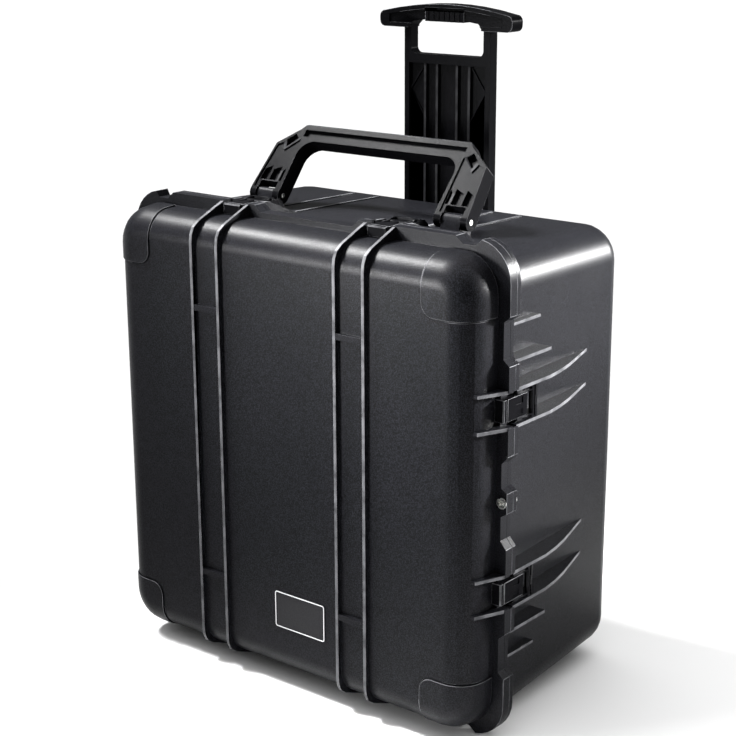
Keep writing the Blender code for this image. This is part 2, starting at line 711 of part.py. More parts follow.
def make_carry_handle(frame):
    handle = prism("carry_handle", handle_outline(), "Y", -0.02, 0.02)
    combine(handle, [prism("section", handle_section(), "X", -0.25, 0.25)], "INTERSECT")
    for side in (-1, 1):
        slot = sorted((side * (HANDLE_BOSS_X[0] - 0.0006), side * (HANDLE_BOSS_X[1] + 0.0006)))
        cut_from(handle, block("fork", slot, (-0.03, 0.03), (-0.03, 0.0165)))
        bore = sorted((side * 0.140, side * 0.205))
        cut_from(handle, rod("bore", "X", (0, 0), HANDLE_PIN_RADIUS + GAP, *bore, 16))
    pivot = Vector((0, *HANDLE_PIVOT))
    lean = Matrix.Rotation(-HANDLE_TILT, 4, "X")
    moved(handle, Matrix.Translation(pivot) @ lean)
    finish(handle, "trim_black", frame, pivot)
    for label, side in (("left", -1), ("right", 1)):
        xs = sorted((side * (HANDLE_LEG_X[0] + 0.0004), side * (HANDLE_LEG_X[1] - 0.0004)))
        pin = rod(f"handle_pin_{label}", "X", HANDLE_PIVOT, HANDLE_PIN_RADIUS, *xs, 16)
        finish(pin, "steel", frame, (sum(xs) / 2, *HANDLE_PIVOT), True)


# ---------------------------------------------------------------- trolley handle


def grip_outline():
    """Front view of the grip: flat underside, arched top and round ends."""
    low, high = GRIP_HEIGHT
    steps = 8
    flat = GRIP_HALF_W - GRIP_END
    end_top = high - flat**2 / (2 * GRIP_ARC)
    crown = []
    for i in range(steps + 1):
        x = flat * (1 - 2 * i / steps)
        crown.append((x, high - x**2 / (2 * GRIP_ARC)))
    right = arc((flat, low + GRIP_END), GRIP_END, -90, 0, 3)
    right += arc((flat, end_top - GRIP_END), GRIP_END, 0, 75, 3)
    left = [(-x, z) for x, z in reversed(right)]
    return right + crown + left


def hand_opening():
    """The opening between grip and plate, arched at the top."""
    bottom, side = 0.5385, 0.067
    outline = arc((side - 0.009, bottom + 0.009), 0.009, 0, -90, 4)
    outline = [(side, 0.580)] + outline
    outline = outline + [(-x, z) for x, z in reversed(outline)]
    outline += [(-0.060, 0.5868), (-0.030, 0.5905), (0.0, 0.5915), (0.030, 0.5905), (0.060, 0.5868)]
    return prism("opening", outline, "Y", 0.29, 0.34)


def linkage(name, slack, lift):
    """Crossbar and two rods that carry the trigger's lift down to the foot of the plate."""
    half = 0.002 + slack
    depths = (LINK_DEPTH - half, LINK_DEPTH + half)
    top = LINK_TOP + half + lift
    bar = block(name, (-LINK_X - half, LINK_X + half), depths, (LINK_TOP - half, top))
    foot = TROLLEY_BOTTOM + 0.008 - 40 * slack
    for side in (-1, 1):
        xs = (side * LINK_X - half, side * LINK_X + half)
        join_to(bar, block("rod", xs, depths, (foot, LINK_TOP)))
    return bar


def make_trolley(frame):
    w = TROLLEY_HALF_W
    handle = block("trolley_handle", (-w, w), TROLLEY_DEPTH, (TROLLEY_BOTTOM, 0.585))
    join_to(handle, prism("grip", grip_outline(), "Y", *GRIP_DEPTH))
    pocket_x = TRIGGER_HALF_W + 0.0005
    pocket = block(
        "pocket", (-pocket_x, pocket_x), (0.29, 0.3225), (0.580, TRIGGER_HEIGHT[1] + 0.0056)
    )
    cut_from(handle, hand_opening(), pocket, linkage("link_space", 0.0006, TRIGGER_TRAVEL))
    finish(handle, "trim_black", frame, (0, LINK_DEPTH, TROLLEY_BOTTOM))
    depths = (GRIP_DEPTH[0] + GAP, 0.322)
    trigger = block("release_trigger", (-TRIGGER_HALF_W, TRIGGER_HALF_W), depths, TRIGGER_HEIGHT)
    seat = (LINK_TOP - 0.0023, LINK_TOP + 0.0023)
    cut_from(trigger, block("seat", (-0.05, 0.05), (LINK_DEPTH - 0.0023, 0.33), seat))
    finish(trigger, "trim_black", frame, (0, LINK_DEPTH, LINK_TOP))
    finish(linkage("release_linkage", 0, 0), "steel", frame, (0, LINK_DEPTH, LINK_TOP))
    cover = block("trolley_cover", (-COVER_HALF_W, COVER_HALF_W), (COVER_FRONT, BACK), COVER_HEIGHT)
    for x, height in screw_positions():
        cut_from(cover, rod("bore", "Y", (x, height), 0.0020, 0.32, 0.34, 10))
        cut_from(cover, rod("sink", "Y", (x, height), 0.0039, BACK - 0.0018, 0.34, 12))
    finish(cover, "trim_black", frame)
    for number, (x, height) in enumerate(screw_positions(), 1):
        screw = rod(f"cover_screw_{number}", "Y", (x, height), 0.0017, 0.3190, BACK - 0.0010, 10)
        head = rod("head", "Y", (x, height), 0.0036, BACK - 0.0015, BACK - GAP, 12)
        finish(join_to(screw, head), "steel", frame, (x, BACK, height), True)


# ---------------------------------------------------------------- wheels and small parts


def turned_ring(name, profile, centre_x, steps):
    """A ring about the axle from an (x, radius) profile, run outer side first."""
    centre = Vector((centre_x, WHEEL_DEPTH, AXLE_HEIGHT))
    bm = bmesh.new()
    rings = []
    for i in range(steps):
        a = 2 * math.pi * i / steps
        spoke = Vector((0, math.cos(a), math.sin(a)))
        rings.append([bm.verts.new(centre + Vector((x, 0, 0)) + spoke * r) for x, r in profile])
    for i in range(steps):
        a, b = rings[i], rings[(i + 1) % steps]
        for k in range(len(profile)):
            m = (k + 1) % len(profile)
            bm.faces.new((a[k], a[m], b[m], b[k]))
    return new_object(name, bm)


def make_wheel(frame, label, side):
    centre_x, w = side * WHEEL_X, WHEEL_HALF_WIDTH
    crown = [(-w, 0.0355), (-w + 0.003, WHEEL_RADIUS), (w - 0.003, WHEEL_RADIUS), (w, 0.0355)]
    tyre = turned_ring(f"wheel_tyre_{label}", [*crown, (w, 0.0282), (-w, 0.0282)], centre_x, 40)
    disc = [(-w, 0.0279), (w, 0.0279), (w, 0.0235), (0.008, 0.0215), (0.008, 0.016)]
    disc += [(w, 0.0145), (w, 0.0112), (-w, 0.0112), (-w, 0.0145), (-0.008, 0.016)]
    disc += [(-0.008, 0.0215), (-w, 0.0235)]
    hub = turned_ring(f"wheel_hub_{label}", disc, centre_x, 32)
    race = [(-w, 0.0109), (w, 0.0109), (w, AXLE_RADIUS + GAP), (-w, AXLE_RADIUS + GAP)]
    bearing = turned_ring(f"wheel_bearing_{label}", race, centre_x, 24)
    xs = sorted((side * 0.1860, side * 0.2460))
    axle = rod(f"wheel_axle_{label}", "X", (WHEEL_DEPTH, AXLE_HEIGHT), AXLE_RADIUS, *xs, 16)
    origin = (centre_x, WHEEL_DEPTH, AXLE_HEIGHT)
    finish(tyre, "tyre_grey", frame, origin, True)
    finish(hub, "trim_black", frame, origin, True)
    finish(bearing, "steel", frame, origin, True)
    finish(axle, "steel", frame, origin, True)


def make_foot(frame, label, side):
    xs = sorted((side * (FOOT_X - FOOT_HALF[0]), side * (FOOT_X + FOOT_HALF[0])))
    depths = (FOOT_DEPTH - FOOT_HALF[1], FOOT_DEPTH + FOOT_HALF[1])
    foot = block(f"foot_{label}", xs, depths, (-MID_HEIGHT, -0.3385 - GAP))
    finish(foot, "rubber_black", frame, (side * FOOT_X, FOOT_DEPTH, -MID_HEIGHT))


def make_valve(frame):
    """Pressure valve through the hinge-side wall, with its nut on the inside."""
    centre = (VALVE_DEPTH, 0)
    wall_x = -lerp(BASE_HALF_W, VALVE_DEPTH / BASE_DEPTH)
    body = rod("pressure_valve", "X", centre, 0.0080, wall_x - 0.002, wall_x + 0.0135, 20)
    cap = rod("cap", "X", centre, 0.0135, wall_x - 0.0065, wall_x - 0.0007, 20)
    finish(join_to(body, cap), "trim_black", frame, (wall_x, *centre), True)
    nut = rod("valve_nut", "X", centre, 0.0130, wall_x + WALL + 0.0008, wall_x + WALL + 0.0058, 6)
    cut_from(nut, rod("bore", "X", centre, 0.0083, wall_x, wall_x + 0.03, 20))
    finish(nut, "trim_black", frame, (wall_x, *centre))


def clear_scene():
    for obj in list(bpy.data.objects):
        bpy.data.objects.remove(obj, do_unlink=True)


def main():
    clear_scene()
    frame = bpy.data.objects.new("case_frame", None)
    frame.location = (0, PARTING_Y, MID_HEIGHT)
    bpy.context.scene.collection.objects.link(frame)
    make_base(frame)
    make_lid(frame)
    for name, side, s in latch_places():
        make_latch(frame, name, side, s)
    make_padlock_eyelets(frame)
    make_hinge_pins(frame)
    make_carry_handle(frame)
    make_trolley(frame)
    for label, side in (("left", -1), ("right", 1)):
        make_wheel(frame, label, side)
        make_foot(frame, label, side)
    make_valve(frame)


main()
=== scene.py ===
"""Looks for the wheeled equipment case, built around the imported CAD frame.

Units are metres. Detail is drawn in the case frame: x across, depth behind the parting plane
along +Y, and height above the middle of the case along +Z.
"""

import json
import math

import bmesh
import bpy
from mathutils import Matrix, Vector


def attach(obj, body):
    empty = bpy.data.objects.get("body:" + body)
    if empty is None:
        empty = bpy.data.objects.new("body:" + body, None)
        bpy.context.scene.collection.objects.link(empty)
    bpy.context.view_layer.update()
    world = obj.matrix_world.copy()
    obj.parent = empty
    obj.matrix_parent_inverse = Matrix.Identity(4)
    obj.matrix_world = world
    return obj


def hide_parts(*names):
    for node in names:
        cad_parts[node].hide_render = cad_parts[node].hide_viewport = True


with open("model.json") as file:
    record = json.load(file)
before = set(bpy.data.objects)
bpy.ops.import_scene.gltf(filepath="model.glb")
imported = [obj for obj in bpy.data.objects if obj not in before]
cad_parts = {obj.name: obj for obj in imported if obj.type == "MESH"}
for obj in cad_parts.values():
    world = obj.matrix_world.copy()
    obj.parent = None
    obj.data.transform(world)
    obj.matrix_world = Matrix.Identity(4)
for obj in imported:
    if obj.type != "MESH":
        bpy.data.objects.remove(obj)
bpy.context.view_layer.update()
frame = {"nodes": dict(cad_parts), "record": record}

PARTING_Y = -0.1243
MID_HEIGHT = 0.350
CASE = Matrix.Translation((0, PARTING_Y, MID_HEIGHT))

# Lid skin, as the frame has it
LID_DEPTH = 0.0762
LID_HALF_W = (0.328, 0.3257)
LID_HALF_H = (0.331, 0.3275)
LID_CORNER = 0.052
LID_EDGE = 0.038
PAD_PROUD = 0.0020
PAD_INNER_X, PAD_INNER_Z, PAD_RADIUS = 0.250, 0.252, 0.020
PAD_GROOVE, PAD_GROOVE_DEPTH = 0.0020, 0.0014
PAD_START, GROOVE_START = -0.016, -0.010
PAD_AREA_DEPTHS = (-0.09, -0.020)
CORNER_FAR = 0.40

# Flange faces that the latches are drawn from, and the latch centres along each side
FLANGE_HALF_W = 0.3455
FLANGE_HALF_H = 0.3485
LATCH_ALONG_SIDE = 0.128
LATCH_ALONG_TOP = 0.1328

# Carry handle: pivot, lean, and half thickness of its bow
HANDLE_PIVOT = (0.1001, 0.3402)
HANDLE_TILT = math.radians(40.0)
HANDLE_FACE = 0.0125
HANDLE_CUT_FROM = HANDLE_FACE + 0.002

# Its channel, and on the right-hand leg as (x, distance from the pivot): the sunk field, its
# slots, the shoulder's frame and pocket, and the notch through the shoulder's end
CHANNEL_HALF, CHANNEL_SPAN, CHANNEL_DEPTH = 0.149, (0.0965, 0.1085), 0.0060
LEG_FIELD = [
    (0.1965, 0.004), (0.1965, 0.0180), (0.1903, 0.0785), (0.1560, 0.0955),
    (0.1500, 0.0905), (0.1500, 0.0040),
]
LEG_SLOTS = [
    [(0.1520, 0.018), (0.1570, 0.018), (0.1570, 0.036), (0.1520, 0.041)],
    [(0.1612, 0.018), (0.1755, 0.018), (0.1755, 0.037), (0.1612, 0.043)],
    [(0.1797, 0.018), (0.1935, 0.018), (0.1920, 0.036), (0.1797, 0.043)],
]
FIELD_DEPTH, SLOT_DEPTH = 0.0022, 0.0085
SHOULDER_FRAME = [(0.1505, 0.0925), (0.1640, 0.1045), (0.1820, 0.0890), (0.1735, 0.0700)]
SHOULDER_FRAME_DEPTHS = (0.0001, 0.006)
SHOULDER_POCKET = [(0.1555, 0.0925), (0.1640, 0.1000), (0.1765, 0.0885), (0.1712, 0.0755)]
POCKET_DEPTH = 0.0080
SHOULDER_NOTCH = [(0.1700, 0.1030), (0.1890, 0.0880), (0.1850, 0.0830), (0.1660, 0.0980)]
NOTCH_HALF = 0.004

# Trolley handle: front and back of its plate and of its grip
PLATE_FRONT, PLATE_BACK = 0.3100, 0.3278
PANEL_HALF, PANEL_BOTTOM, PANEL_TOP = 0.0705, 0.200, 0.524
PANEL_DEPTH, BACK_PANEL_DEPTH = 0.0058, 0.0024
UPRIGHT_X, UPRIGHT_HALF = (0.0185, 0.0410), 0.0022
BRACE_X, BRACE_WIDTH, BRACE_STEPS = (0.0425, 0.0708), 0.0026, 8
UPRIGHT_SUNK, BRACE_SUNK, RIB_ROOT, RIB_OVERLAP = 0.0012, 0.0034, 0.0068, 0.002
GRIP_FRONT = 0.3035
GRIP_TOP = 0.6134
GRIP_ARC = 0.520
GRIP_RECESS_HALF, GRIP_RECESS_LOW = 0.104, 0.5835
GRIP_RECESS_RIM, GRIP_RECESS_DEPTH = 0.0072, 0.0022
TRIGGER_GROOVES, TRIGGER_PITCH, TRIGGER_HALF = range(-3, 4), 0.0095, 0.0008
TRIGGER_DEPTHS, TRIGGER_HEIGHTS = (0.300, 0.3050), (0.5860, 0.6035)

# Blank nameplate
NAME_CENTRE = (0.0335, -0.225)
NAME_HALF = (0.047, 0.028)
NAME_FACE = -LID_DEPTH - 0.0013
NAME_RIM, NAME_SUNK = 0.0022, 0.0003
BORDER_INSETS, BORDER_PROUD = (0.0004, 0.0018), (0.0004, 0.0001)

# Latch cuts in the latch's own frame: along the side, across the parting plane, outwards
LATCH_CUT_TOP = 0.004
LEVER_END_SLOT = ((0.0065, 0.0220), (0.0450, 0.0495), -0.0030)
LEVER_SIDE_SLOT = ((0.0180, 0.0225), (0.0200, 0.0400), -0.0032)
LEVER_MIDDLE_SLOT = ((-0.0065, 0.0065), (0.0445, 0.0470), -0.0020)
HOOK_FIELD = ((0.0035, 0.0120), (0.0060, 0.0215), -0.0034)

# Wheels
WHEEL_X = 0.211
AXLE = (0.2895, -0.3115)
HUB_POCKETS, POCKET_CIRCLE, POCKET_RADIUS, HUB_HALF = 6, 0.0190, 0.0030, 0.030

# Edges: rounding width of each finish, and how much paler a narrow crest is painted, as worn
# plastic and as a painted highlight
EDGE = {"shell_black": 0.0010, "trim_black": 0.0007, "rubber_black": 0.0010, "tyre_grey": 0.0008}
FINE_EDGE = 0.0002
CREST_WIDTH, CREST_WEAR_AND_HIGHLIGHT, TRIM_CREST_WEAR_AND_HIGHLIGHT = 0.0050, 0.60, 0.12
WELD = 2e-6
SHELL_ANGLES = (24.0, 20.0)

# Camera and studio
CAMERA_AT = Vector((1.4972, -1.8321, 1.1217))
YAW, PITCH, ROLL = -0.686, 0.279, -0.005
LENS, SENSOR = 81.06, 36.0
SKY_FALLOFF, SKY_HORIZON, SKY_ZENITH = 3.0, 0.10, 2.85
FLOOR_HALF = 30.0

# Speckle of the moulded plastics: noise levels of its dark and pale ends, and its share of the
# roughness from the dull ones to the shiny ones
SPECK_LOW, SPECK_HIGH = 0.42, 0.66
SPECK_SHEEN = (0.36, 0.66, 0.05, -0.07)

# ---------------------------------------------------------------- materials


def shader_material(name, colour, roughness, metallic=0.0, specular=0.5):
    material = bpy.data.materials.new(name)
    material.use_nodes = True
    shader = material.node_tree.nodes["Principled BSDF"]
    shader.inputs["Base Color"].default_value = (*colour, 1)
    shader.inputs["Roughness"].default_value = roughness
    shader.inputs["Metallic"].default_value = metallic
    shader.inputs["Specular IOR Level"].default_value = specular
    return material, shader


def noise(tree, coords, scale, detail=2.0, roughness=0.5):
    node = tree.nodes.new("ShaderNodeTexNoise")
    node.inputs["Scale"].default_value = scale
    node.inputs["Detail"].default_value = detail
    node.inputs["Roughness"].default_value = roughness
    tree.links.new(coords, node.inputs["Vector"])
    return node.outputs["Fac"]


def remap(tree, value, low, high, to_low, to_high):
    node = tree.nodes.new("ShaderNodeMapRange")
    node.inputs["From Min"].default_value = low
    node.inputs["From Max"].default_value = high
    node.inputs["To Min"].default_value = to_low
    node.inputs["To Max"].default_value = to_high
    tree.links.new(value, node.inputs["Value"])
    return node.outputs["Result"]


def ramp(tree, value, stops):
    node = tree.nodes.new("ShaderNodeValToRGB")
    elements = node.color_ramp.elements
    while len(elements) < len(stops):
        elements.new(0.5)
    for element, (position, colour) in zip(elements, stops):
        element.position = position
        element.color = (*colour, 1)
    tree.links.new(value, node.inputs["Fac"])
    return node.outputs["Color"]


def mix_colour(tree, factor, first, second):
    node = tree.nodes.new("ShaderNodeMix")
    node.data_type = "RGBA"
    tree.links.new(factor, node.inputs["Factor"])
    for socket, value in ((node.inputs[6], first), (node.inputs[7], second)):
        if isinstance(value, tuple):
            socket.default_value = (*value, 1)
        else:
            tree.links.new(value, socket)
    return node.outputs[2]


def bump(tree, height, strength, distance, below=None):
    node = tree.nodes.new("ShaderNodeBump")
    node.inputs["Strength"].default_value = strength
    node.inputs["Distance"].default_value = distance
    tree.links.new(height, node.inputs["Height"])
    if below is not None:
        tree.links.new(below, node.inputs["Normal"])
    return node.outputs["Normal"]


def plastic(name, dark, light, edge, rough, grain, depth, specular=0.5):
    """Moulded plastic: speckled grain, faint tonal drift, uneven sheen, and paler edges that are
    partly worn plastic and partly a painted highlight.
    """
    material, shader = shader_material(name, dark, rough[0], specular=specular)
    tree = material.node_tree
    coords = tree.nodes.new("ShaderNodeTexCoord").outputs["Object"]
    specks = noise(tree, coords, grain, 2.0, 0.7)
    colour = ramp(tree, specks, [(SPECK_LOW, dark), (SPECK_HIGH, light)])
    # Bevels and crests are painted paler here: partly worn plastic, partly a painted highlight
    # where light catches them.
    wear_and_highlight = tree.nodes.new("ShaderNodeAttribute")
    wear_and_highlight.attribute_name = "edge_wear_and_highlight"
    patchy = remap(tree, noise(tree, coords, 38.0, 3.0, 0.6), 0.34, 0.60, 0.35, 1.0)
    amount = tree.nodes.new("ShaderNodeMath")
    amount.operation = "MULTIPLY"
    tree.links.new(wear_and_highlight.outputs["Fac"], amount.inputs[0])
    tree.links.new(patchy, amount.inputs[1])
    tree.links.new(mix_colour(tree, amount.outputs[0], colour, edge), shader.inputs["Base Color"])
    drift = noise(tree, coords, 5.0, 5.0, 0.62)
    sheen = tree.nodes.new("ShaderNodeMath")
    sheen.operation = "ADD"
    tree.links.new(remap(tree, drift, 0.3, 0.7, *rough), sheen.inputs[0])
    tree.links.new(remap(tree, specks, *SPECK_SHEEN), sheen.inputs[1])
    tree.links.new(sheen.outputs[0], shader.inputs["Roughness"])
    fine = noise(tree, coords, grain, 3.0, 0.65)
    sink = bump(tree, noise(tree, coords, 7.0, 1.0, 0.4), 0.08, 0.0012)
    tree.links.new(bump(tree, fine, 0.60, depth, sink), shader.inputs["Normal"])
    return material


def steel(name, colour, rough):
    """Turned or drawn stainless: fine streaks in its sheen and a slight change of tone."""
    material, shader = shader_material(name, colour, rough, 1.0)
    tree = material.node_tree
    coords = tree.nodes.new("ShaderNodeTexCoord").outputs["Object"]
    streaks = noise(tree, coords, 260.0, 4.0, 0.6)
    sheen = remap(tree, streaks, 0.3, 0.7, rough * 0.7, rough * 1.4)
    tree.links.new(sheen, shader.inputs["Roughness"])
    tree.links.new(bump(tree, streaks, 0.25, 0.0001), shader.inputs["Normal"])
    darker = tuple(c * 0.75 for c in colour)
    tone = ramp(tree, noise(tree, coords, 60.0, 2.0), [(0.3, colour), (0.8, darker)])
    tree.links.new(tone, shader.inputs["Base Color"])
    return material


# Each plastic's third colour is its paler edge colour: partly worn plastic, partly a painted
# highlight on edges and crests.
MATERIALS = {
    "shell_black": plastic(
        "case_plastic", (0.0012, 0.0012, 0.0015), (0.0104, 0.0107, 0.0130),
        (0.120, 0.121, 0.128), (0.32, 0.40), 640.0, 0.00030, 0.042,
    ),
    "trim_black": plastic(
        "trim_plastic", (0.0012, 0.0012, 0.0014), (0.0040, 0.0040, 0.0048),
        (0.130, 0.131, 0.138), (0.26, 0.34), 900.0, 0.00014, 0.006,
    ),
    "rubber_black": plastic(
        "soft_rubber", (0.006, 0.006, 0.006), (0.012, 0.012, 0.012), (0.02, 0.02, 0.02),
        (0.62, 0.78), 800.0, 0.00015, 0.2,
    ),
    "tyre_grey": plastic(
        "tyre_compound", (0.014, 0.014, 0.015), (0.026, 0.026, 0.027), (0.05, 0.05, 0.05),
        (0.50, 0.64), 700.0, 0.00018, 0.3,
    ),
    "plate_grey": plastic(
        "plate_film", (0.008, 0.008, 0.009), (0.011, 0.011, 0.012), (0.02, 0.02, 0.02),
        (0.40, 0.50), 500.0, 0.00004, 0.08,
    ),
    "steel": steel("stainless", (0.56, 0.56, 0.54), 0.26),
}
PLATE_LINE = plastic(
    "plate_line", (0.42, 0.42, 0.43), (0.50, 0.50, 0.51), (0.50, 0.50, 0.51),
    (0.35, 0.45), 500.0, 0.00003, 0.3,
)

# ---------------------------------------------------------------- solids in mesh code


def new_object(name, bm):
    mesh = bpy.data.meshes.new(name)
    bm.to_mesh(mesh)
    bm.free()
    obj = bpy.data.objects.new(name, mesh)
    bpy.context.scene.collection.objects.link(obj)
    return obj


def loft(rings, place=CASE, tapered=False):
    """A closed solid through rings of equal length, with flat ends."""
    bm = bmesh.new()
    loops = [[bm.verts.new(place @ Vector(p)) for p in ring] for ring in rings]
    for a, b in zip(loops, loops[1:]):
        for i in range(len(a)):
            j = (i + 1) % len(a)
            bm.faces.new((a[i], a[j], b[j], b[i]))
    if tapered:
        bmesh.ops.triangulate(bm, faces=bm.faces)
    bm.faces.new(loops[0])
    bm.faces.new(reversed(loops[-1]))
    bmesh.ops.recalc_face_normals(bm, faces=bm.faces)
    return new_object("solid", bm)


def prism(outline, axis, low, high, place=CASE):
    """An outline pushed along X (outline is depth, height), Y (x, height) or Z (x, depth)."""
    point = {
        "X": lambda a, b, t: (t, a, b),
        "Y": lambda a, b, t: (a, t, b),
        "Z": lambda a, b, t: (a, b, t),
    }[axis]
    return loft([[point(a, b, t) for a, b in outline] for t in (low, high)], place)


def block(xs, depths, heights, place=CASE):
    corners = [(xs[0], heights[0]), (xs[1], heights[0]), (xs[1], heights[1]), (xs[0], heights[1])]
    return prism(corners, "Y", depths[0], depths[1], place)


def arc(centre, radius, start, end, steps):
    turns = [math.radians(start + (end - start) * i / steps) for i in range(steps + 1)]
    return [(centre[0] + radius * math.cos(a), centre[1] + radius * math.sin(a)) for a in turns]


def rounded_rectangle(x_low, x_high, z_low, z_high, radius, steps=7):
    r = max(radius, 0.0005)
    points = arc((x_high - r, z_high - r), r, 0, 90, steps)
    points += arc((x_low + r, z_high - r), r, 90, 180, steps)
    points += arc((x_low + r, z_low + r), r, 180, 270, steps)
    points += arc((x_high - r, z_low + r), r, 270, 360, steps)
    return points


def mirrored(outline):
    return [(-a, b) for a, b in reversed(outline)]


def combine(target, tools, operation):
    """Applies one exact Boolean for each tool and removes the tools."""
    for tool in tools:
        modifier = target.modifiers.new(operation.lower(), "BOOLEAN")
        modifier.operation = operation
        modifier.solver = "EXACT"
        modifier.object = tool
        graph = bpy.context.evaluated_depsgraph_get()
        mesh = bpy.data.meshes.new_from_object(target.evaluated_get(graph))
        target.modifiers.clear()
        target.data = mesh
        bpy.data.objects.remove(tool)
    return target


# ---------------------------------------------------------------- pieces from the frame

NODE_BODY = {
    node: body
    for body, nodes in frame["record"]["behaviour"]["bodies"].items()
    for node in nodes
}
NODE_SLOT = {part["node"]: part["material_slot"] for part in frame["record"]["subparts"]}


def form(node):
    """A welded copy of a CAD solid, ready to be cut into and softened."""
    bm = bmesh.new()
    bm.from_mesh(frame["nodes"][node].data)
    bmesh.ops.remove_doubles(bm, verts=bm.verts, dist=WELD)
    return new_object(node + "_form", bm)


def has_room(edge, width):
    """True where a round of this width fits beside every edge that meets the edge's ends."""
    return all(e.calc_length() > 2.2 * width for v in edge.verts for e in v.link_edges)


def is_crest(face, limit):
    """True for a narrow face that stands proud along both of its long sides."""
    longest = max(max(e.calc_length() for e in face.edges), 1e-6)
    sides = [e for e in face.edges if e.calc_length() > 0.5 * longest and e.is_manifold]
    if face.calc_area() / longest > CREST_WIDTH or len(sides) < 2:
        return False
    return all(e.calc_face_angle_signed(0) > limit for e in sides)


def soften(piece, width, crest=TRIM_CREST_WEAR_AND_HIGHLIGHT, angle=32.0, crease=38.0):
    """Rounds edges sharper than angle, marks edges and crests to be painted paler, as worn plastic
    and as a painted highlight, and evens the shading.

    Edges sharper than crease, both in degrees, keep a hard line in the shading.
    """
    bm = bmesh.new()
    bm.from_mesh(piece.data)
    # This layer marks faces to be painted paler: partly worn edges, partly a painted highlight on
    # edges and crests.
    wear_and_highlight = bm.faces.layers.float.new("edge_wear_and_highlight")
    bmesh.ops.remove_doubles(bm, verts=bm.verts, dist=WELD)
    bmesh.ops.dissolve_limit(
        bm, angle_limit=math.radians(0.7), verts=bm.verts, edges=bm.edges, delimit={"NORMAL"}
    )
    limit = math.radians(angle)
    for face in bm.faces:
        if is_crest(face, limit):
            face[wear_and_highlight] = crest
    sharp = [e for e in bm.edges if e.is_manifold and e.calc_face_angle(0) > limit]
    sharp = [e for e in sharp if has_room(e, width)]
    out = bmesh.ops.bevel(
        bm, geom=sharp, offset=width, segments=2, profile=0.6, affect="EDGES",
        clamp_overlap=True, loop_slide=True,
    )
    for face in out["faces"]:
        if all(e.calc_face_angle_signed(0) > -0.05 for e in face.edges if e.is_manifold):
            face[wear_and_highlight] = 1.0
    bm.to_mesh(piece.data)
    bm.free()
    piece.data.shade_smooth()
    piece.data.set_sharp_from_angle(angle=math.radians(crease))
    even = piece.modifiers.new("even_shading", "WEIGHTED_NORMAL")
    even.keep_sharp = True
    graph = bpy.context.evaluated_depsgraph_get()
    mesh = bpy.data.meshes.new_from_object(piece.evaluated_get(graph))
    piece.modifiers.clear()
    piece.data = mesh


def stand_for(piece, node):
    """The piece takes the node's finish and place in the assembly."""
    piece.name = node + "_form"
    piece.data.materials.clear()
    piece.data.materials.append(MATERIALS[NODE_SLOT[node]])
    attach(piece, NODE_BODY[node])
    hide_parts(node)


# ---------------------------------------------------------------- lid corner pads


def lid_ring(t, inset):
    """A section of the lid at a share t of its depth, drawn inset from the outer skin."""
    w = LID_HALF_W[0] + (LID_HALF_W[1] - LID_HALF_W[0]) * t - inset
    h = LID_HALF_H[0] + (LID_HALF_H[1] - LID_HALF_H[0]) * t - inset
    outline = rounded_rectangle(-w, w, -h, h, LID_CORNER - inset)
    return [(x, -LID_DEPTH * t, z) for x, z in outline]


def lid_hull(offset, start):
    """The lid's skin moved inwards by offset, from depth start to the front face."""
    radius = LID_EDGE - offset
    front = LID_DEPTH - offset
    rings = [[(x, start, z) for x, _, z in lid_ring(0, offset)]]
    for angle in range(0, 91, 15):
        a = math.radians(angle)
        depth = front - radius + radius * math.sin(a)
        inset = offset + radius * (1 - math.cos(a))
        rings.append([(x, -depth, z) for x, _, z in lid_ring(depth / LID_DEPTH, inset)])
    return loft(rings, tapered=True)


def corner_area(side, end, grow=0.0):
    """A block over one corner of the lid, with a rounded inner corner."""
    xs = sorted((side * (PAD_INNER_X - grow), side * CORNER_FAR))
    zs = sorted((end * (PAD_INNER_Z - grow), end * CORNER_FAR))
    return prism(rounded_rectangle(*xs, *zs, PAD_RADIUS + grow, 6), "Y", *PAD_AREA_DEPTHS)


def shape_lid(lid):
    """Thicker skin over the four front corners, each set off by a fine groove."""
    for side in (-1, 1):
        for end in (-1, 1):
            inner = [corner_area(side, end), lid_hull(PAD_GROOVE_DEPTH, GROOVE_START)]
            groove = combine(corner_area(side, end, PAD_GROOVE), inner, "DIFFERENCE")
            combine(lid, [groove], "DIFFERENCE")
            pad = lid_hull(-PAD_PROUD, PAD_START)
            combine(lid, [combine(pad, [corner_area(side, end)], "INTERSECT")], "UNION")


# ---------------------------------------------------------------- carry handle


def on_leg(outline, side):
    return mirrored(outline) if side < 0 else outline


